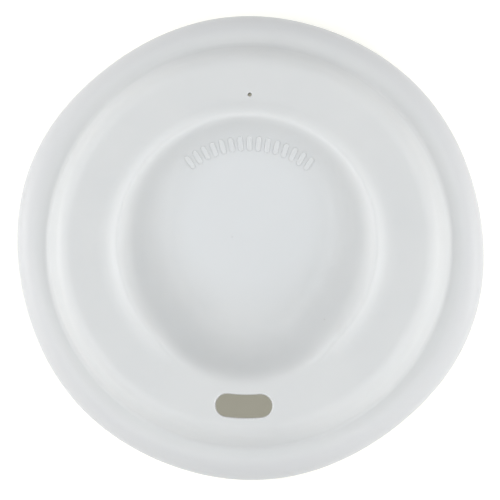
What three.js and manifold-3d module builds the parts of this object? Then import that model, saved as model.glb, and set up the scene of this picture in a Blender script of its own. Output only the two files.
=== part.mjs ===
// Coffee cup lid, moulded in one piece of soft silicone, in millimetres with +Z up.
// The lid stands on the lower edge of its skirt at z = 0, centred on the Z axis.
// The drinking slot is towards -Y and the air hole towards +Y.
import * as THREE from "three";
import { mergeVertices } from "three/addons/utils/BufferGeometryUtils.js";
import Module from "manifold-3d";

// Driving dimensions: the outside of the lid
const lidRadius = 47.5;
const crownHeight = 16.5;
const ledgeHeight = 10.6; // at the foot of the step
const ledgeFall = 0.7; // from there out to the skirt
const sheetThickness = 2.0;
const ledgeThickness = 2.4;

// The skirt and the seal, with the groove for the cup's rim between them
const skirtThickness = 2.4;
const rimGrooveWidth = 3.6;
const sealThickness = 2.0;
const sealDepth = 4.8; // below the roof of the groove

// The step from the ledge up to the crown
const stepInset = 0.8; // from the seal's outer side in to the foot of the step
const stepRun = 2.9;
const crownWidth = 11.9; // from the top of the step to the lip of the recess

// The recess in the middle of the crown: its floor slopes down towards the slot
const recessDepth = 8.2; // on the Z axis
const recessFloorSlope = 0.15;
const recessFloorCurve = 0.0045; // per mm: the floor levels out towards the slot
const recessWallSlope = 1.3;
const recessWallInset = 0.2; // from the lip in to the top of the wall
const recessSideInset = 1.3; // more of it at both sides, so the floor narrows towards the slot
const recessSlotReach = 1.3; // how much further out the wall stands beside the slot
const slotSide = { from: 0.7, to: 0.95 }; // the share of the way out that leads towards the slot
const recessFloorBlend = 5.0;
const recessLipBlend = 2.4;
const lipBeadHeight = 1.5;
const lipBeadTop = 0.5; // how round the bead's crest is
const lipBeadReach = 5.0;

// Fillet radii
const shoulderFillet = 5.4;
const stepFootFillet = 1.4;
const stepTopFillet = 3.8;
const grooveFillet = 1.6; // where the groove's roof turns down into the skirt
const edgeFillet = 0.6;

// The openings in the crown
const slotFromLip = 6.5;
const slotLength = 11.4;
const slotWidth = 4.6;
const airHoleFromLip = 4.1;
const airHoleDiameter = 0.8;

// The row of plain ribs on the recess floor
const ribCount = 15;
const ribsFromLip = 5.5;
const ribRowAngle = 72; // degrees from the first rib to the last
const ribLength = 2.9;
const ribWidth = 1.1;
const ribHeight = 0.25;

// The soft skirt isn't quite round: each wave has its lobes, its size and the angle of a peak
const rimWaves = [
  { lobes: 2, size: 0.22, peak: -7.3 },
  { lobes: 4, size: 0.19, peak: -16.7 },
  { lobes: 6, size: 0.2, peak: -19.7 },
];

// Radii and heights that follow from these, from the skirt inwards
const skirtInside = lidRadius - skirtThickness;
const sealOutside = skirtInside - rimGrooveWidth;
const sealInside = sealOutside - sealThickness;
const stepFootRadius = sealOutside - stepInset;
const stepTopRadius = stepFootRadius - stepRun;
const recessLipRadius = stepTopRadius - crownWidth;
const slotRadius = recessLipRadius + slotFromLip;
const airHoleRadius = recessLipRadius + airHoleFromLip;
const ribRowRadius = recessLipRadius - ribsFromLip;
const rimGrooveRoof = ledgeHeight - ledgeThickness;
const sealBottom = rimGrooveRoof - sealDepth;
const recessFloorHeight = crownHeight - recessDepth;

// How finely the round shapes are drawn
const turns = 64;
const recessRings = 20;
const chordTolerance = 0.08;

const point = (radius, height) => new THREE.Vector2(radius, height);

// The corners of a line moved sideways by a distance, to the right of its direction.
function offsetCorners(corners, distance) {
  const sides = corners.slice(1).map((end, i) => {
    const along = end.clone().sub(corners[i]).normalize();
    const across = point(along.y, -along.x).multiplyScalar(distance);
    return { start: corners[i].clone().add(across), along };
  });
  const moved = [sides[0].start];
  for (let i = 1; i < sides.length; i++) {
    const a = sides[i - 1];
    const b = sides[i];
    const reach = b.start.clone().sub(a.start).cross(b.along) / a.along.cross(b.along);
    moved.push(a.start.clone().addScaledVector(a.along, reach));
  }
  const last = sides[sides.length - 1];
  const end = corners[corners.length - 1].clone();
  moved.push(end.add(point(last.along.y, -last.along.x).multiplyScalar(distance)));
  return moved;
}

// A line through corners, each a point with its fillet radius, as a list of points.
// Two fillets on one straight share its length in proportion to what they ask for.
function roundedLine(corners) {
  const line = [];
  const bends = corners.map(({ at, fillet = 0 }, i) => {
    const before = corners[i - 1];
    const after = corners[i + 1];
    if (!before || !after || fillet <= 0) return { at, asked: 0 };
    const back = before.at.clone().sub(at);
    const ahead = after.at.clone().sub(at);
    const half = Math.abs(back.angleTo(ahead)) / 2;
    return { at, back, ahead, half, asked: fillet / Math.tan(half) };
  });
  bends.forEach(({ at, back, ahead, half, asked }, i) => {
    if (asked === 0) {
      line.push(at.clone());
      return;
    }
    const share = (straight, other) => (0.98 * straight.length() * asked) / (asked + other.asked);
    const trim = Math.min(asked, share(back, bends[i - 1]), share(ahead, bends[i + 1]));
    const radius = trim * Math.tan(half);
    const first = at.clone().addScaledVector(back.normalize(), trim);
    const last = at.clone().addScaledVector(ahead.normalize(), trim);
    const centre = at.clone().add(back.add(ahead).normalize().multiplyScalar(radius / Math.sin(half)));
    const from = first.clone().sub(centre);
    const sweep = Math.sign(from.cross(last.clone().sub(centre))) * (Math.PI - 2 * half);
    const stepAngle = 2 * Math.acos(1 - Math.min(chordTolerance / radius, 0.5));
    const steps = Math.ceil(Math.abs(sweep) / stepAngle);
    for (let k = 0; k <= steps; k++) {
      line.push(from.clone().rotateAround(point(0, 0), (sweep * k) / steps).add(centre));
    }
  });
  return line;
}

// The larger or the smaller of two heights, blended where they come near each other.
function blendedMax(a, b, blend) {
  const near = Math.max(blend - Math.abs(a - b), 0) / blend;
  return Math.max(a, b) + (near * near * blend) / 4;
}

const blendedMin = (a, b, blend) => -blendedMax(-a, -b, blend);

// The height of the crown and its recess above a point: a wall falls from the lip to the sloping floor.
function crownTop(x, y) {
  const radius = Math.max(Math.hypot(x, y), 1e-6);
  const besideSlot = THREE.MathUtils.smoothstep(-y / radius, slotSide.from, slotSide.to);
  const fromLip = radius - recessLipRadius - recessSlotReach * besideSlot;
  const inset = recessWallInset + recessSideInset * (x / radius) ** 2 * (1 - y / radius);
  const wall = crownHeight + (fromLip + inset) * recessWallSlope;
  const floor = recessFloorHeight + recessFloorSlope * y + recessFloorCurve * y * y;
  const dish = blendedMin(crownHeight, blendedMax(wall, floor, recessFloorBlend), recessLipBlend);
  const bead = Math.max(1 - Math.hypot(fromLip, lipBeadTop) / lipBeadReach, 0) ** 3;
  return dish + lipBeadHeight * bead * (1 - besideSlot);
}

// The underside of the same sheet, lower where the sheet is steep.
function crownUnder(x, y) {
  const reach = 0.05;
  const rise = (crownTop(x + reach, y) - crownTop(x - reach, y)) / (2 * reach);
  const climb = (crownTop(x, y + reach) - crownTop(x, y - reach)) / (2 * reach);
  return crownTop(x, y) - sheetThickness * Math.hypot(1, rise, climb);
}

// The section of the lid, from the axis over the top to the skirt and back along the underside.
// Each point keeps its radius and its height, or the function that gives its height in the recess.
function lidSection() {
  const recessReach = recessLipRadius + 1.1 * lipBeadReach;
  // The rings lie closer together towards the lip, where the shape turns.
  const ringRadius = (i) => recessReach * Math.sin((Math.PI / 2) * (i / recessRings));
  const radii = Array.from({ length: recessRings }, (_, i) => ringRadius(i));
  const top = [
    point(recessReach, crownHeight),
    point(stepTopRadius, crownHeight),
    point(stepFootRadius, ledgeHeight),
    point(lidRadius, ledgeHeight - ledgeFall),
    point(lidRadius, 0),
  ];
  const under = offsetCorners(top.slice(0, 3), sheetThickness);
  const stepUnder = under[2].clone().sub(under[1]);
  const sealTopHeight = under[1].y + (stepUnder.y * (sealInside - under[1].x)) / stepUnder.x;
  const corner = (at, fillet) => ({ at, fillet });
  const outer = roundedLine([
    corner(top[0]),
    corner(top[1], stepTopFillet),
    corner(top[2], stepFootFillet),
    corner(top[3], shoulderFillet),
    corner(top[4], edgeFillet),
    corner(point(skirtInside, 0), edgeFillet),
    corner(point(skirtInside, rimGrooveRoof), grooveFillet),
    corner(point(sealOutside, rimGrooveRoof), edgeFillet),
    corner(point(sealOutside, sealBottom), edgeFillet),
    corner(point(sealInside, sealBottom), edgeFillet),
    corner(point(sealInside, sealTopHeight), stepFootFillet),
    corner(under[1], stepTopFillet - sheetThickness),
    corner(under[0]),
  ]);
  const dish = (heightAt) => radii.map((radius) => ({ radius, heightAt }));
  const rest = outer.map((each) => ({ radius: each.x, heightAt: () => each.y }));
  return [...dish(crownTop), ...rest, ...dish(crownUnder).reverse()];
}

// How far the skirt stands out of round at an angle, as a share of its radius.
function outOfRound(angle) {
  const wave = ({ lobes, size, peak }) => size * Math.cos(lobes * (angle - THREE.MathUtils.degToRad(peak)));
  return rimWaves.reduce((sum, each) => sum + wave(each), 0) / lidRadius;
}

// The moulded sheet: the section turned about Z, with each point moved to its place.
function lidShell() {
  const section = lidSection().reverse();
  const profile = section.map(({ radius }, i) => point(radius, i));
  const geometry = new THREE.LatheGeometry(profile, turns).rotateX(Math.PI / 2);
  const place = geometry.attributes.position;
  for (let i = 0; i < place.count; i++) {
    const { radius, heightAt } = section[i % section.length];
    const angle = point(place.getX(i), place.getY(i)).angle();
    const onSkirt = THREE.MathUtils.smoothstep(radius, stepFootRadius, skirtInside);
    const stretched = radius * (1 + onSkirt * outOfRound(angle));
    const x = stretched * Math.cos(angle);
    const y = stretched * Math.sin(angle);
    place.setXYZ(i, x, y, heightAt(x, y));
  }
  return geometry;
}

// An outline with round ends that follows a circle about the Z axis, around the angle -90 degrees.
function arcSlotOutline(radius, length, width) {
  const half = width / 2;
  const reach = (length / 2 - half) / radius;
  const middle = -Math.PI / 2;
  const outline = new THREE.Shape();
  const end = (side) => point(radius, 0).rotateAround(point(0, 0), middle + side * reach);
  outline.absarc(0, 0, radius + half, middle - reach, middle + reach, false);
  outline.absarc(end(1).x, end(1).y, half, middle + reach, middle + reach + Math.PI, false);
  outline.absarc(0, 0, radius - half, middle + reach, middle - reach, true);
  outline.absarc(end(-1).x, end(-1).y, half, middle - reach + Math.PI, middle - reach + 2 * Math.PI, false);
  return outline;
}

// A cutter that passes right through the crown.
function throughCrown(outline, curveSegments) {
  const margin = 1;
  const depth = sheetThickness + 2 * margin;
  return new THREE.ExtrudeGeometry(outline, { depth, curveSegments, bevelEnabled: false })
    .translate(0, 0, crownHeight + margin - depth);
}

function slotCutter() {
  return throughCrown(arcSlotOutline(slotRadius, slotLength, slotWidth), 8);
}

function airHoleCutter() {
  const outline = new THREE.Shape().absarc(0, airHoleRadius, airHoleDiameter / 2, 0, 2 * Math.PI, false);
  return throughCrown(outline, 8);
}

// One rib with round ends, lying along a radius of the recess floor and rooted in the sheet.
function rib(angle) {
  const half = ribWidth / 2;
  const straight = ribLength / 2 - half;
  const outline = new THREE.Shape();
  outline.absarc(straight, 0, half, -Math.PI / 2, Math.PI / 2, false);
  outline.absarc(-straight, 0, half, Math.PI / 2, (3 * Math.PI) / 2, false);
  const root = sheetThickness / 2;
  const geometry = new THREE.ExtrudeGeometry(outline, {
    depth: root + ribHeight,
    curveSegments: 4,
    bevelEnabled: false,
  });
  geometry.translate(ribRowRadius, 0, -root).rotateZ(angle);
  const place = geometry.attributes.position;
  for (let i = 0; i < place.count; i++) {
    place.setZ(i, place.getZ(i) + crownTop(place.getX(i), place.getY(i)));
  }
  return geometry;
}

function ribRow() {
  const first = 90 - ribRowAngle / 2;
  const pitch = ribRowAngle / (ribCount - 1);
  return Array.from({ length: ribCount }, (_, i) => rib(THREE.MathUtils.degToRad(first + pitch * i)));
}

const wasm = await Module();
wasm.setup();

// A closed geometry as a solid that can be joined and cut.
function solidOf(geometry) {
  const bare = geometry.clone();
  bare.deleteAttribute("normal");
  bare.deleteAttribute("uv");
  const merged = mergeVertices(bare, 1e-4);
  return new wasm.Manifold(
    new wasm.Mesh({
      numProp: 3,
      vertProperties: new Float32Array(merged.attributes.position.array),
      triVerts: new Uint32Array(merged.index.array),
    }),
  );
}

// The solid back as a geometry with flat faces.
function geometryOf(solid) {
  const mesh = solid.getMesh();
  const geometry = new THREE.BufferGeometry();
  geometry.setAttribute("position", new THREE.BufferAttribute(mesh.vertProperties, mesh.numProp));
  geometry.setIndex(new THREE.BufferAttribute(mesh.triVerts, 1));
  const faceted = geometry.toNonIndexed();
  faceted.computeVertexNormals();
  return faceted;
}

function makeLid() {
  let solid = solidOf(lidShell());
  for (const each of ribRow()) solid = solid.add(solidOf(each));
  solid = solid.subtract(solidOf(slotCutter())).subtract(solidOf(airHoleCutter()));
  const silicone = new THREE.MeshStandardMaterial({ color: 0xeceeef, roughness: 0.55, metalness: 0 });
  const lid = new THREE.Mesh(geometryOf(solid), silicone);
  lid.name = "lid";
  return lid;
}

const model = new THREE.Group();
model.add(makeLid());

export default model;
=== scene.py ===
# %% [markdown]
# # A soft coffee cup lid
# This notebook dresses one moulded part: the silicone lid of a takeaway coffee cup. The measured
# model comes in as a fixed frame. Around it we build a finer mesh of the same lid, give it a matte
# silicone finish, and light it softly from the sides, as for a product picture taken from above.

import math

import bpy
from mathutils import Matrix, Vector


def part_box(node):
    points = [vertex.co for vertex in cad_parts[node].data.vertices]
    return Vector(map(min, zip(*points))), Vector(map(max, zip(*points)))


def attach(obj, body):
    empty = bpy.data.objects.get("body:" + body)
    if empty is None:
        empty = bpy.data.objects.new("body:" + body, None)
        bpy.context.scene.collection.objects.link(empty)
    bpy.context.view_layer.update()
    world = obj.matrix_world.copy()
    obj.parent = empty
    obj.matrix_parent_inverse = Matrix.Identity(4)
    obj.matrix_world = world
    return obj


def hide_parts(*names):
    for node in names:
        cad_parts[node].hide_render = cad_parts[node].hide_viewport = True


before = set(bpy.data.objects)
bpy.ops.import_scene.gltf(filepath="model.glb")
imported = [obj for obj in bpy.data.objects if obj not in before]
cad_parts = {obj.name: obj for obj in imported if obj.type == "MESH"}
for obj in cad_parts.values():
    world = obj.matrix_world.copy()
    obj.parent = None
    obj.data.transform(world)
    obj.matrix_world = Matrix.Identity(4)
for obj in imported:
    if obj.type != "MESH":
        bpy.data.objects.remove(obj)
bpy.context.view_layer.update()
lid_low, lid_high = (Vector(corner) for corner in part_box("lid"))
print("nodes in the frame:", len(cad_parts))
print("the lid measures", [round(1000 * side, 2) for side in lid_high - lid_low], "mm")

# %% [markdown]
# ## Sizes
# All lengths are in metres, so a helper value for one millimetre keeps them readable. These are the
# sizes of the moulding itself, the same ones that the measured model was made with. Named once here,
# they can be changed in one place, and every later cell works its shapes out from them. The slot
# faces -Y and the air hole faces +Y.

# %% Sizes of the moulding
MM = 0.001

LID_RADIUS = 47.5 * MM
CROWN_HEIGHT = 16.5 * MM
LEDGE_HEIGHT = 10.6 * MM
LEDGE_FALL = 0.7 * MM
SHEET = 2.0 * MM

SKIRT_THICKNESS = 2.4 * MM
RIM_GROOVE_WIDTH = 3.6 * MM
RIM_GROOVE_ROOF = 8.2 * MM
SEAL_THICKNESS = 2.0 * MM
SEAL_BOTTOM = 3.4 * MM

STEP_FOOT_RADIUS = 40.7 * MM
STEP_TOP_RADIUS = 37.8 * MM

RECESS_LIP_RADIUS = 25.9 * MM
RECESS_FLOOR_HEIGHT = 8.3 * MM
RECESS_FLOOR_SLOPE = 0.15
RECESS_FLOOR_CURVE = 0.0045 / MM
RECESS_WALL_SLOPE = 1.3
RECESS_WALL_INSET = 0.2 * MM
RECESS_SIDE_INSET = 1.3 * MM
RECESS_SLOT_REACH = 1.3 * MM
# The lip fades out towards the slot between these two values of -y / radius.
SLOT_SIDE = (0.7, 0.95)
RECESS_FLOOR_BLEND = 5.0 * MM
RECESS_LIP_BLEND = 2.4 * MM
LIP_BEAD_HEIGHT = 1.5 * MM
LIP_BEAD_TOP = 0.5 * MM
LIP_BEAD_REACH = 5.0 * MM

SHOULDER_FILLET = 5.4 * MM
STEP_FOOT_FILLET = 1.4 * MM
STEP_TOP_FILLET = 3.8 * MM
GROOVE_FILLET = 1.6 * MM
EDGE_FILLET = 0.6 * MM
print("crown", CROWN_HEIGHT / MM, "mm high, recess lip", RECESS_LIP_RADIUS / MM, "mm from the middle")

# %% [markdown]
# ## The crown and its recess
# A drinker's nose and upper lip need room beside the slot, so the crown is pressed in: the floor of
# the recess slopes down towards the slot and levels out there, and a wall climbs from it to a
# raised lip. A formula suits this better than a sculpted shape, because every ring of the mesh can ask
# it for a height. Two flats that meet are blended over a short stretch, which gives the soft, moulded
# turn.

# %% Heights of the crown


def blended_max(a, b, blend):
    """The larger of two heights, with a soft turn where they come near each other."""
    near = max(blend - abs(a - b), 0.0) / blend
    return max(a, b) + near * near * blend / 4


def blended_min(a, b, blend):
    """The smaller of two heights, with the same soft turn."""
    return -blended_max(-a, -b, blend)


def smooth_share(value, low, high):
    """From 0 at low to 1 at high, with soft ends."""
    share = min(max((value - low) / (high - low), 0.0), 1.0)
    return share * share * (3 - 2 * share)


def crown_top(x, y):
    """The upper surface of the crown above a point."""
    radius = max(math.hypot(x, y), 1e-9)
    beside_slot = smooth_share(-y / radius, *SLOT_SIDE)
    from_lip = radius - RECESS_LIP_RADIUS - RECESS_SLOT_REACH * beside_slot
    inset = RECESS_WALL_INSET + RECESS_SIDE_INSET * (x / radius) ** 2 * (1 - y / radius)
    wall = CROWN_HEIGHT + (from_lip + inset) * RECESS_WALL_SLOPE
    floor = RECESS_FLOOR_HEIGHT + RECESS_FLOOR_SLOPE * y + RECESS_FLOOR_CURVE * y * y
    dish = blended_min(CROWN_HEIGHT, blended_max(wall, floor, RECESS_FLOOR_BLEND), RECESS_LIP_BLEND)
    bead = max(1 - math.hypot(from_lip, LIP_BEAD_TOP) / LIP_BEAD_REACH, 0.0) ** 3
    return dish + LIP_BEAD_HEIGHT * bead * (1 - beside_slot)


def crown_under(x, y):
    """The lower surface of the same sheet, lower where the sheet is steep."""
    reach = 0.05 * MM
    rise = (crown_top(x + reach, y) - crown_top(x - reach, y)) / (2 * reach)
    climb = (crown_top(x, y + reach) - crown_top(x, y - reach)) / (2 * reach)
    return crown_top(x, y) - SHEET * math.sqrt(1 + rise * rise + climb * climb)


print("recess depth towards the slot", round((CROWN_HEIGHT - crown_top(0, -20 * MM)) / MM, 2), "mm")

# %% [markdown]
# ## The section outside the recess
# From the crown the sheet steps down to a ledge, turns over a round shoulder into the skirt, and
# comes back underneath: the groove for the cup's rim, the seal ring, and the underside of the step.
# The section is a line of corners, each with its own fillet, as a mould maker would draw it.

# %% A line of corners with fillets
FILLET_STEP = math.radians(8)
# The share of a straight that its two fillets may take up between them.
FILLET_ROOM = 0.98


def rounded_line(corners):
    """Points along a line of corners, each given as radius, height and fillet radius.

    Two fillets on one straight share its length in proportion to what they ask for.
    """
    places = [Vector(corner[:2]) for corner in corners]
    asked = [0.0] * len(corners)
    for i in range(1, len(corners) - 1):
        half = (places[i - 1] - places[i]).angle(places[i + 1] - places[i]) / 2
        asked[i] = corners[i][2] / math.tan(half)
    points = []
    for i, at in enumerate(places):
        if asked[i] == 0:
            points.append(at)
            continue
        back = places[i - 1] - at
        ahead = places[i + 1] - at
        half = back.angle(ahead) / 2
        back_share = FILLET_ROOM * back.length * asked[i] / (asked[i] + asked[i - 1])
        ahead_share = FILLET_ROOM * ahead.length * asked[i] / (asked[i] + asked[i + 1])
        trim = min(asked[i], back_share, ahead_share)
        turn_radius = trim * math.tan(half)
        first = at + back.normalized() * trim
        last = at + ahead.normalized() * trim
        inwards = (back.normalized() + ahead.normalized()).normalized()
        centre = at + inwards * turn_radius / math.sin(half)
        arm, end_arm = first - centre, last - centre
        turning = 1 if arm.x * end_arm.y - arm.y * end_arm.x > 0 else -1
        sweep = turning * (math.pi - 2 * half)
        steps = math.ceil(abs(sweep) / FILLET_STEP)
        for k in range(steps + 1):
            points.append(centre + Matrix.Rotation(sweep * k / steps, 2) @ arm)
    return points


def with_even_steps(points, longest):
    """The same line with extra points, so that no straight stretch is longer than a given length."""
    fine = [points[0]]
    for start, end in zip(points, points[1:]):
        pieces = max(1, math.ceil((end - start).length / longest))
        fine += [start.lerp(end, k / pieces) for k in range(1, pieces + 1)]
    return fine


square_corner = [(0, 0, 0), (20 * MM, 0, SHOULDER_FILLET), (20 * MM, -20 * MM, 0)]
print("the shoulder's fillet on a square corner has", len(rounded_line(square_corner)) - 2, "points")

# %% [markdown]
# ### Its corners
# The corners are listed in the order in which a finger would follow the lid: out over the crown, down
# the step, over the ledge and the shoulder, round the skirt's lower edge, and back under the groove
# and the seal ring. A sculpted or bought mesh would give the same look, but here each wall keeps its
# stated thickness, since both of its sides come from the same sizes.

# %% The outer section, from the crown to the skirt and back underneath
RECESS_REACH = RECESS_LIP_RADIUS + 1.1 * LIP_BEAD_REACH
LONGEST_STEP = 1.2 * MM


def outer_section():
    """The section outside the recess, over the top and back along the underside."""
    step_run = STEP_FOOT_RADIUS - STEP_TOP_RADIUS
    step_drop = CROWN_HEIGHT - LEDGE_HEIGHT
    slant = math.hypot(step_run, step_drop)
    under_height = CROWN_HEIGHT - SHEET
    # The step's inner side lies one sheet inside its outer side.
    under_radius = STEP_TOP_RADIUS - SHEET * (slant - step_run) / step_drop
    skirt_inside = LID_RADIUS - SKIRT_THICKNESS
    seal_outside = skirt_inside - RIM_GROOVE_WIDTH
    seal_inside = seal_outside - SEAL_THICKNESS
    seal_top = under_height - (seal_inside - under_radius) * step_drop / step_run
    corners = [
        (RECESS_REACH, CROWN_HEIGHT, 0),
        (STEP_TOP_RADIUS, CROWN_HEIGHT, STEP_TOP_FILLET),
        (STEP_FOOT_RADIUS, LEDGE_HEIGHT, STEP_FOOT_FILLET),
        (LID_RADIUS, LEDGE_HEIGHT - LEDGE_FALL, SHOULDER_FILLET),
        (LID_RADIUS, 0, EDGE_FILLET),
        (skirt_inside, 0, EDGE_FILLET),
        (skirt_inside, RIM_GROOVE_ROOF, GROOVE_FILLET),
        (seal_outside, RIM_GROOVE_ROOF, EDGE_FILLET),
        (seal_outside, SEAL_BOTTOM, EDGE_FILLET),
        (seal_inside, SEAL_BOTTOM, EDGE_FILLET),
        (seal_inside, seal_top, STEP_FOOT_FILLET),
        (under_radius, under_height, STEP_TOP_FILLET - SHEET),
        (RECESS_REACH, under_height, 0),
    ]
    return with_even_steps(rounded_line(corners), LONGEST_STEP)


print("points on the outer section:", len(outer_section()))

# %% [markdown]
# ## The moulded sheet
# A lid like this is round in the drawing, but soft: lying on a table its skirt stands a fifth of a
# millimetre out of round. We turn the section about the Z axis by hand rather than with a screw
# modifier, since each point has to be stretched a little by its angle and lifted by the crown's
# formula. The rings lie closer together towards the lip, where the shape turns.

# %% Turn the section into a closed mesh
COLUMNS = 240
RECESS_RINGS = 64
# Each wave of the skirt: how many lobes, how far out, and the angle of a peak in degrees.
RIM_WAVES = ((2, 0.22 * MM, -7.3), (4, 0.19 * MM, -16.7), (6, 0.20 * MM, -19.7))


def out_of_round(angle):
    """How far the skirt stands out at an angle, as a share of its radius."""
    waves = (size * math.cos(lobes * (angle - math.radians(peak))) for lobes, size, peak in RIM_WAVES)
    return sum(waves) / LID_RADIUS


def ring_places():
    """Each ring of the lid from the middle of the crown round to the middle of the underside."""
    shares = [(i + 0.5) / RECESS_RINGS for i in range(RECESS_RINGS)]
    radii = [RECESS_REACH * math.sin(math.pi / 2 * share) for share in shares]
    rings = [(radius, crown_top) for radius in radii]
    rings += [(at.x, lambda x, y, height=at.y: height) for at in outer_section()]
    return rings + [(radius, crown_under) for radius in reversed(radii)]


def turned_lid():
    """The whole sheet as vertices and faces, with a fan of triangles at each pole."""
    rings = ring_places()
    vertices = []
    for radius, height_at in rings:
        on_skirt = smooth_share(radius, STEP_FOOT_RADIUS, LID_RADIUS - SKIRT_THICKNESS)
        for column in range(COLUMNS):
            angle = 2 * math.pi * column / COLUMNS
            stretched = radius * (1 + on_skirt * out_of_round(angle))
            x, y = stretched * math.cos(angle), stretched * math.sin(angle)
            vertices.append((x, y, height_at(x, y)))
    faces = []
    for ring in range(len(rings) - 1):
        for column in range(COLUMNS):
            after = (column + 1) % COLUMNS
            near, far = ring * COLUMNS, (ring + 1) * COLUMNS
            faces.append((near + column, far + column, far + after, near + after))
    top, bottom = len(vertices), len(vertices) + 1
    vertices += [(0, 0, crown_top(0, 0)), (0, 0, crown_under(0, 0))]
    last = (len(rings) - 1) * COLUMNS
    for column in range(COLUMNS):
        after = (column + 1) % COLUMNS
        faces.append((top, column, after))
        faces.append((bottom, last + after, last + column))
    return vertices, faces


def new_object(name, vertices, faces):
    """A mesh object at the origin, with its place in its vertices."""
    mesh = bpy.data.meshes.new(name)
    mesh.from_pydata(vertices, [], faces)
    mesh.validate()
    made = bpy.data.objects.new(name, mesh)
    bpy.context.scene.collection.objects.link(made)
    return made


lid = new_object("silicone_lid", *turned_lid())
print("moulded sheet:", len(lid.data.polygons), "faces")

# %% [markdown]
# ## Openings with soft edges
# The slot follows a circle about the lid's middle and has round ends, and the air hole is less than
# a millimetre wide. Moulded edges are never sharp. Rather than bevel the edges after the cut, each
# cutter flares like a trumpet at both faces of the sheet, so the cut leaves a rounded edge.

# %% Outlines and cutters
SLOT_RADIUS = 32.4 * MM
SLOT_LENGTH = 11.4 * MM
SLOT_WIDTH = 4.6 * MM
SLOT_EDGE = 0.35 * MM
AIR_HOLE_RADIUS = 30.0 * MM
AIR_HOLE_DIAMETER = 0.8 * MM
AIR_HOLE_EDGE = 0.12 * MM


def arc_slot(half_width, half_angle, middle, radius, steps=14):
    """The outline of a slot with round ends along a circle, counter-clockwise."""
    def on_circle(centre, size, start, end):
        turns = (start + (end - start) * k / steps for k in range(steps + 1))
        return [centre + size * Vector((math.cos(turn), math.sin(turn))) for turn in turns]

    def end_centre(side):
        angle = middle + side * half_angle
        return radius * Vector((math.cos(angle), math.sin(angle)))

    low, high = middle - half_angle, middle + half_angle
    outline = on_circle(Vector((0, 0)), radius + half_width, low, high)
    outline += on_circle(end_centre(1), half_width, high, high + math.pi)[1:]
    outline += on_circle(Vector((0, 0)), radius - half_width, high, low)[1:]
    outline += on_circle(end_centre(-1), half_width, low - math.pi, low)[1:-1]
    return outline


def stacked(name, levels):
    """A closed solid through outlines of equal point counts, each given with its height function."""
    vertices, faces = [], []
    count = len(levels[0][0])
    for outline, height_at in levels:
        vertices += [(at.x, at.y, height_at(at.x, at.y)) for at in outline]
    for level in range(len(levels) - 1):
        for i in range(count):
            after = (i + 1) % count
            near, far = level * count, (level + 1) * count
            faces.append((near + i, near + after, far + after, far + i))
    faces.append(tuple(reversed(range(count))))
    faces.append(tuple(range((len(levels) - 1) * count, len(levels) * count)))
    return new_object(name, vertices, faces)


def flared_cutter(name, outline_of, edge, steps=5):
    """A cutter through the crown whose walls flare by a quarter circle at each face."""
    quarter = [math.pi / 2 * k / steps for k in range(steps + 1)]
    flare = [(edge * (1 - math.sin(turn)), edge * (1 - math.cos(turn))) for turn in quarter]
    margin = 1 * MM
    base = CROWN_HEIGHT - SHEET
    walls = [(base - margin, edge)] + [(base + inward, out) for out, inward in flare]
    walls += [(CROWN_HEIGHT - inward, out) for out, inward in reversed(flare)]
    walls += [(CROWN_HEIGHT + margin, edge)]
    levels = [(outline_of(out), lambda x, y, height=height: height) for height, out in walls]
    return stacked(name, levels)


def slot_outline(out):
    half_width = SLOT_WIDTH / 2
    half_angle = (SLOT_LENGTH / 2 - half_width) / SLOT_RADIUS
    return arc_slot(half_width + out, half_angle, -math.pi / 2, SLOT_RADIUS)


def air_hole_outline(out, steps=32):
    size = AIR_HOLE_DIAMETER / 2 + out
    turns = (2 * math.pi * k / steps for k in range(steps))
    return [Vector((size * math.cos(turn), AIR_HOLE_RADIUS + size * math.sin(turn))) for turn in turns]


slot_cutter = flared_cutter("slot_cutter", slot_outline, SLOT_EDGE)
air_hole_cutter = flared_cutter("air_hole_cutter", air_hole_outline, AIR_HOLE_EDGE)
print("slot cutter", len(slot_cutter.data.polygons), "faces")

# %% [markdown]
# ## A row of plain ribs
# A short row of raised marks lies on the recess floor near the air hole. Here they are plain, equal
# ribs with round ends and softened tops. Each one starts inside the sheet and follows the slope of
# the floor, so that joining them leaves one clean skin.

# %% Ribs on the recess floor
RIB_COUNT = 15
RIB_ROW_RADIUS = 20.4 * MM
RIB_ROW_ANGLE = math.radians(72)
RIB_LENGTH = 2.9 * MM
RIB_WIDTH = 1.1 * MM
RIB_HEIGHT = 0.25 * MM
RIB_EDGE = 0.22 * MM


def rib_outline(inset, angle, steps=8):
    """A bar with round ends along a radius of the lid."""
    half = RIB_WIDTH / 2
    straight = RIB_LENGTH / 2 - half
    turn = Matrix.Rotation(angle, 2)
    outline = []
    for side, start in ((1, -math.pi / 2), (-1, math.pi / 2)):
        centre = Vector((RIB_ROW_RADIUS + side * straight, 0))
        for k in range(steps + 1):
            around = start + math.pi * k / steps
            arm = (half - inset) * Vector((math.cos(around), math.sin(around)))
            outline.append(turn @ (centre + arm))
    return outline


def make_rib(angle, steps=4):
    """One rib, rooted in the sheet, with a rounded top edge."""
    quarter = [math.pi / 2 * k / steps for k in range(steps + 1)]
    rises = [(0.0, -SHEET / 2)]
    for turn in quarter:
        rises.append((RIB_EDGE * (1 - math.cos(turn)), RIB_HEIGHT - RIB_EDGE * (1 - math.sin(turn))))
    levels = []
    for inset, rise in rises:
        levels.append((rib_outline(inset, angle), lambda x, y, rise=rise: crown_top(x, y) + rise))
    return stacked("rib", levels)


pitch = RIB_ROW_ANGLE / (RIB_COUNT - 1)
ribs = [make_rib(math.pi / 2 + pitch * (i - (RIB_COUNT - 1) / 2)) for i in range(RIB_COUNT)]
print(len(ribs), "ribs")

# %% [markdown]
# ## Join and cut
# Boolean modifiers join the ribs and cut the openings, and are then applied, so that one plain mesh
# is left. Edges that turn sharply are marked, and a weighted normal modifier keeps the broad flats
# flat in the light although the small rounded edges beside them are smooth.

# %% Join the ribs and cut the openings


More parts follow.
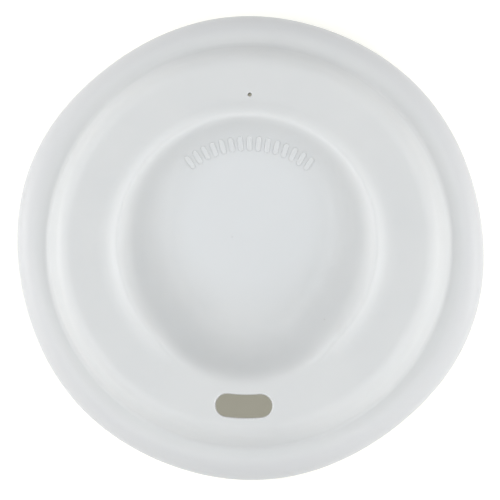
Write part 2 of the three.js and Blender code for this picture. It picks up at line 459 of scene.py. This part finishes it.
def apply_modifiers(piece):
    """Replaces a piece's mesh by what its modifiers make of it."""
    graph = bpy.context.evaluated_depsgraph_get()
    made = bpy.data.meshes.new_from_object(piece.evaluated_get(graph))
    piece.modifiers.clear()
    piece.data = made


def boolean(piece, tool, operation):
    """Joins or cuts a piece with a tool, which is then deleted."""
    change = piece.modifiers.new(operation.lower(), "BOOLEAN")
    change.operation = operation
    change.solver = "EXACT"
    change.object = tool
    apply_modifiers(piece)
    bpy.data.objects.remove(tool)


for rib in ribs:
    boolean(lid, rib, "UNION")
for cutter in (slot_cutter, air_hole_cutter):
    boolean(lid, cutter, "DIFFERENCE")

SHARP_TURN = math.radians(40)
NORMAL_WEIGHT = 60
lid.data.shade_smooth()
lid.data.set_sharp_from_angle(angle=SHARP_TURN)
weighted = lid.modifiers.new("even_normals", "WEIGHTED_NORMAL")
weighted.keep_sharp = True
weighted.weight = NORMAL_WEIGHT
apply_modifiers(lid)
print("finished lid:", len(lid.data.polygons), "faces")

# %% [markdown]
# ## The silicone
# Food-grade silicone is a pale, slightly milky rubber: light enters it a millimetre or so and comes
# out again, which softens every small edge. Its surface is matte and never perfectly even. A painted
# picture could carry that, but it would need an unwrapped mesh and would blur close up, so the finish
# is built from shader nodes that read the place on the lid. A few helpers add one node each.

# %% Helpers for shader nodes


def new_material(name):
    material = bpy.data.materials.new(name)
    material.use_nodes = True
    return material, material.node_tree.nodes, material.node_tree.links


def add_noise(nodes, links, coordinates, scale, detail):
    noise = nodes.new("ShaderNodeTexNoise")
    noise.inputs["Scale"].default_value = scale
    noise.inputs["Detail"].default_value = detail
    links.new(coordinates, noise.inputs["Vector"])
    return noise.outputs["Fac"]


def add_range(nodes, links, value, low, high, from_low=0.0, from_high=1.0):
    remap = nodes.new("ShaderNodeMapRange")
    remap.inputs["From Min"].default_value = from_low
    remap.inputs["From Max"].default_value = from_high
    remap.inputs["To Min"].default_value = low
    remap.inputs["To Max"].default_value = high
    links.new(value, remap.inputs["Value"])
    return remap.outputs["Result"]


def add_mix(nodes, links, share, first, second):
    mix = nodes.new("ShaderNodeMix")
    mix.data_type = "RGBA"
    links.new(share, mix.inputs["Factor"])
    for socket, value in zip(("A", "B"), (first, second)):
        target = [each for each in mix.inputs if each.name == socket and each.type == "RGBA"][0]
        if isinstance(value, tuple):
            target.default_value = (*value, 1)
        else:
            links.new(value, target)
    return [each for each in mix.outputs if each.type == "RGBA"][0]


def add_math(nodes, links, operation, *values):
    step = nodes.new("ShaderNodeMath")
    step.operation = operation
    for socket, value in zip(step.inputs, values):
        if isinstance(value, float):
            socket.default_value = value
        else:
            links.new(value, socket)
    return step.outputs["Value"]


def add_distance(nodes, links, place, centre):
    distance = nodes.new("ShaderNodeVectorMath")
    distance.operation = "DISTANCE"
    distance.inputs[1].default_value = centre
    links.new(place, distance.inputs[0])
    return distance.outputs["Value"]


helpers = (new_material, add_noise, add_range, add_mix, add_math, add_distance)
print("helpers for nodes:", ", ".join(helper.__name__ for helper in helpers))

# %% [markdown]
# ### Painted light and shade in the base colour
# The silicone's colour carries painted light and shade: painted light makes the recess floor a little
# paler and cooler, a painted highlight makes the crest of the lip paler still, and painted shade makes
# the round shoulder a shade deeper. Each tint is mixed in by distance: from a place on the floor, from
# the crest of the lip, or from the lid's axis. The lip's painted highlight fades out towards the slot, as
# the lip itself does.

# %% Painted light and shade by place
# Painted light on the recess floor: a paler, cooler colour where the light from above falls.
RECESS_PAINTED_LIGHT = (0.660, 0.674, 0.681)
# Painted highlight along the crest of the lip.
LIP_PAINTED_HIGHLIGHT = (0.678, 0.688, 0.688)
# Painted shade on the round shoulder.
SHOULDER_PAINTED_SHADE = (0.606, 0.612, 0.618)
# Each range runs from the full tint to none of it.
RECESS_PAINTED_LIGHT_CENTRE = (0, 5.5 * MM, RECESS_FLOOR_HEIGHT)
RECESS_PAINTED_LIGHT_REACH = (12 * MM, 20 * MM)
LIP_CREST = RECESS_LIP_RADIUS + 0.5 * MM
LIP_HIGHLIGHT_HALF_WIDTH = (0.4 * MM, 2.0 * MM)
LIP_HIGHLIGHT_SLOT_END = (-6 * MM, -19 * MM)
SHOULDER_SHADE_RADII = (44.5 * MM, 42.5 * MM)


def add_painted_light_and_shade(nodes, links, place, colour):
    """Painted light on the recess floor, a painted highlight on the lip's crest and painted shade on the
    shoulder.
    """
    split = nodes.new("ShaderNodeSeparateXYZ")
    links.new(place, split.inputs[0])
    x, y = split.outputs["X"], split.outputs["Y"]
    squares = [add_math(nodes, links, "MULTIPLY", side, side) for side in (x, y)]
    radius = add_math(nodes, links, "POWER", add_math(nodes, links, "ADD", *squares), 0.5)
    # Painted light on the recess floor, by distance from a place on the floor.
    from_floor = add_distance(nodes, links, place, RECESS_PAINTED_LIGHT_CENTRE)
    floor_light_share = add_range(nodes, links, from_floor, 1, 0, *RECESS_PAINTED_LIGHT_REACH)
    # Painted highlight along the lip's crest, fading out towards the slot.
    from_crest = add_math(nodes, links, "ABSOLUTE", add_math(nodes, links, "SUBTRACT", radius, LIP_CREST))
    near_crest = add_range(nodes, links, from_crest, 1, 0, *LIP_HIGHLIGHT_HALF_WIDTH)
    off_slot = add_range(nodes, links, y, 1, 0, *LIP_HIGHLIGHT_SLOT_END)
    lip_highlight_share = add_math(nodes, links, "MULTIPLY", near_crest, off_slot)
    # Painted shade on the round shoulder, by distance from the lid's axis.
    shoulder_shade_share = add_range(nodes, links, radius, 1, 0, *SHOULDER_SHADE_RADII)
    for share, tint in ((floor_light_share, RECESS_PAINTED_LIGHT), (lip_highlight_share, LIP_PAINTED_HIGHLIGHT), (shoulder_shade_share, SHOULDER_PAINTED_SHADE)):
        colour = add_mix(nodes, links, share, colour, tint)
    return colour


# The painted highlight ring lies on the lip's crest.
print("the palest ring lies", round(LIP_CREST / MM, 1), "mm from the lid's axis")

# %% [markdown]
# ### Grain, drift and dust
# Over the tints the base colour drifts slowly between two near shades. A fine grain changes the
# roughness and lifts the surface by a few hundredths of a millimetre, which breaks up the highlights
# without showing as a pattern. Two specks of dust sit in the recess, each given by its place.

# %% The silicone material
PALE = (0.645, 0.653, 0.652)
DEEPER = (0.628, 0.638, 0.639)
DUST = (0.30, 0.29, 0.28)
# Noise scales are in cycles per metre: the drift is about 14 mm wide, and the grain about 0.4 mm.
DRIFT_SCALE = 70
GRAIN_SCALE = 2600
ROUGHNESS = (0.40, 0.52)
GRAIN_DEPTH = 0.05 * MM
GRAIN_STRENGTH = 0.12
SILICONE_IOR = 1.41
MILKINESS = 0.4
LIGHT_DEPTH = 1.2 * MM
# Each speck: where it lies, seen from above, and its size.
SPECKS = ((15.7 * MM, -14.7 * MM, 0.15 * MM), (-3.4 * MM, 1.8 * MM, 0.10 * MM))


def silicone():
    material, nodes, links = new_material("matte_silicone")
    shader = nodes["Principled BSDF"]
    place = nodes.new("ShaderNodeTexCoord").outputs["Object"]
    drift = add_range(nodes, links, add_noise(nodes, links, place, DRIFT_SCALE, 3), 0, 1, 0.35, 0.65)
    # Over the random drift go the painted light and shade tints.
    colour = add_painted_light_and_shade(nodes, links, place, add_mix(nodes, links, drift, PALE, DEEPER))
    for x, y, size in SPECKS:
        from_speck = add_distance(nodes, links, place, (x, y, crown_top(x, y)))
        on_speck = add_range(nodes, links, from_speck, 1, 0, 0.4 * size, size)
        colour = add_mix(nodes, links, on_speck, colour, DUST)
    links.new(colour, shader.inputs["Base Color"])
    grain = add_noise(nodes, links, place, GRAIN_SCALE, 2)
    links.new(add_range(nodes, links, grain, *ROUGHNESS), shader.inputs["Roughness"])
    bump = nodes.new("ShaderNodeBump")
    bump.inputs["Strength"].default_value = GRAIN_STRENGTH
    bump.inputs["Distance"].default_value = GRAIN_DEPTH
    links.new(grain, bump.inputs["Height"])
    links.new(bump.outputs["Normal"], shader.inputs["Normal"])
    shader.inputs["IOR"].default_value = SILICONE_IOR
    shader.inputs["Subsurface Weight"].default_value = MILKINESS
    shader.inputs["Subsurface Radius"].default_value = (1.0, 0.95, 0.9)
    shader.inputs["Subsurface Scale"].default_value = LIGHT_DEPTH
    return material


lid.data.materials.clear()
lid.data.materials.append(silicone())
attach(lid, "root")
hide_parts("lid")
print("material:", lid.data.materials[0].name)

# %% [markdown]
# ## The floor
# The lid lies on a plain white table. Lit by the lamps alone a white table renders pale grey, so the
# floor shines a little by itself, but only for rays that come from the camera or by way of a
# reflection. The lid's own shadow still shows on it, and inside the lid, seen through the slot, it
# stays a warm grey.

# %% White floor and surroundings
FLOOR_RADIUS = 1.6
FLOOR_GLOW = (0.30, 0.29, 0.233)
FLOOR_WHITE = (0.86, 0.86, 0.86)
ROOM_LIGHT = 0.3


def seen_directly(nodes, links):
    """1 for rays from the camera, or seen by reflection or through something clear, and 0 for others."""
    path = nodes.new("ShaderNodeLightPath")
    seen = path.outputs["Is Camera Ray"]
    for ray in ("Is Glossy Ray", "Is Transmission Ray"):
        seen = add_math(nodes, links, "MAXIMUM", seen, path.outputs[ray])
    return seen


def make_floor():
    steps = 96
    rim = [(2 * math.pi * k / steps) for k in range(steps)]
    vertices = [(FLOOR_RADIUS * math.cos(turn), FLOOR_RADIUS * math.sin(turn), 0) for turn in rim]
    floor = new_object("table", vertices, [tuple(range(steps))])
    material, nodes, links = new_material("white_table")
    shader = nodes["Principled BSDF"]
    shader.inputs["Base Color"].default_value = (*FLOOR_WHITE, 1)
    shader.inputs["Roughness"].default_value = 1.0
    shader.inputs["Specular IOR Level"].default_value = 0.0
    shader.inputs["Emission Color"].default_value = (*FLOOR_GLOW, 1)
    links.new(seen_directly(nodes, links), shader.inputs["Emission Strength"])
    floor.data.materials.append(material)
    return floor


def make_world(strength):
    """Even light from all round, which the camera sees as pure white."""
    world = bpy.data.worlds.new("white_room")
    world.use_nodes = True
    nodes, links = world.node_tree.nodes, world.node_tree.links
    light = nodes["Background"]
    light.inputs["Color"].default_value = (1, 1, 1, 1)
    light.inputs["Strength"].default_value = strength
    white = nodes.new("ShaderNodeBackground")
    white.inputs["Strength"].default_value = 1.0
    choose = nodes.new("ShaderNodeMixShader")
    links.new(seen_directly(nodes, links), choose.inputs["Fac"])
    links.new(light.outputs["Background"], choose.inputs[1])
    links.new(white.outputs["Background"], choose.inputs[2])
    links.new(choose.outputs["Shader"], nodes["World Output"].inputs["Surface"])
    bpy.context.scene.world = world


make_floor()
make_world(ROOM_LIGHT)
print("floor", 2 * FLOOR_RADIUS, "m across")

# %% [markdown]
# ## Soft lamps
# The lid is lit from both sides as by the glow of a wide white table, with softer light from above.
# Long strips of light just above the table, left and right, make the raised edges shine while the
# walls of the recess stay in shade. Round softboxes higher up fill in the rest. One ring of light would
# be simpler, but it would leave no shade at all. Each lamp points at the lid, and the powers were
# balanced after each lamp had been rendered alone.

# %% Lamps all round
LAMP_DISTANCE = 0.9
STRIP = (0.50, 0.06)
SMALL_BOX = (0.35, 0.35)
LARGE_BOX = (0.50, 0.50)
# The table's glow is a little warmer than the light from above.
WARM = (1.015, 1.0, 0.985)
COOL = (0.985, 1.0, 1.012)
# Each lamp: compass angle from +X in degrees, height above the table in degrees, size, power in watts.
LAMPS = (
    (0, 1.5, STRIP, 1.73),
    (180, 1.5, STRIP, 1.13),
    (0, 3.5, STRIP, 0.62),
    (180, 3.5, STRIP, 1.0),
    (180, 8, STRIP, 0.36),
    (0, 20, SMALL_BOX, 0.43),
    (90, 20, SMALL_BOX, 0.3),
    (180, 20, SMALL_BOX, 0.55),
    (315, 20, SMALL_BOX, 0.86),
    (0, 45, LARGE_BOX, 0.83),
    (45, 45, LARGE_BOX, 1.4),
    (135, 45, LARGE_BOX, 1.44),
    (180, 45, LARGE_BOX, 1.38),
    (225, 45, LARGE_BOX, 1.8),
    (315, 45, LARGE_BOX, 1.82),
)


def add_lamp(number, compass, height, size, power):
    around, up = math.radians(compass), math.radians(height)
    out = Vector((math.cos(around) * math.cos(up), math.sin(around) * math.cos(up), math.sin(up)))
    lamp = bpy.data.lights.new(f"softbox_{number}", "AREA")
    lamp.shape = "RECTANGLE" if size is STRIP else "ELLIPSE"
    lamp.size, lamp.size_y = size
    lamp.energy = power
    lamp.color = WARM if size is STRIP else COOL
    holder = bpy.data.objects.new(lamp.name, lamp)
    holder.location = Vector((0, 0, CROWN_HEIGHT)) + LAMP_DISTANCE * out
    holder.rotation_mode = "QUATERNION"
    holder.rotation_quaternion = (-out).to_track_quat("-Z", "Y")
    bpy.context.scene.collection.objects.link(holder)
    return holder


for number, settings in enumerate(LAMPS):
    add_lamp(number, *settings)
print(len(LAMPS), "lamps")

# %% [markdown]
# ## The camera
# The camera looks almost straight down. It leans about four degrees towards the slot and to the
# right, which shifts the high crown a little up and to the left against the skirt, and it is rolled
# by about one degree. Its lens is worked out from the width of the lid in the picture.

# %% Camera above the lid
PICTURE = 500
# Where the lid's outline lies in the picture, in pixels from the top left corner.
OUTLINE_CENTRE = Vector((249.5, 247.0))
OUTLINE_RADIUS = 232.4
CAMERA_DISTANCE = 0.5
CAMERA_LEAN = math.radians(4.1)
CAMERA_ROLL = math.radians(1.1)
LEAN_DIRECTION = Vector((0.67, -0.74, 0)).normalized()
WIDEST_HEIGHT = 5.0 * MM


def make_camera():
    away = math.cos(CAMERA_LEAN) * Vector((0, 0, 1)) + math.sin(CAMERA_LEAN) * LEAN_DIRECTION
    picture_up = Vector((-math.sin(CAMERA_ROLL), math.cos(CAMERA_ROLL), 0))
    right = picture_up.cross(away).normalized()
    up = away.cross(right)
    camera = bpy.data.cameras.new("camera")
    camera.sensor_width = 36
    camera.lens = camera.sensor_width * CAMERA_DISTANCE * OUTLINE_RADIUS / PICTURE / LID_RADIUS
    camera.shift_x = (PICTURE / 2 - OUTLINE_CENTRE.x) / PICTURE
    camera.shift_y = (OUTLINE_CENTRE.y - PICTURE / 2) / PICTURE
    holder = bpy.data.objects.new("camera", camera)
    turned = Matrix((right, up, away)).transposed().to_4x4()
    stand = Vector((0, 0, WIDEST_HEIGHT)) + CAMERA_DISTANCE * away
    holder.matrix_world = Matrix.Translation(stand) @ turned
    bpy.context.scene.collection.objects.link(holder)
    bpy.context.scene.camera = holder
    return camera


print("lens", round(make_camera().lens, 1), "mm")
bpy.context.scene.view_settings.view_transform = "Standard"
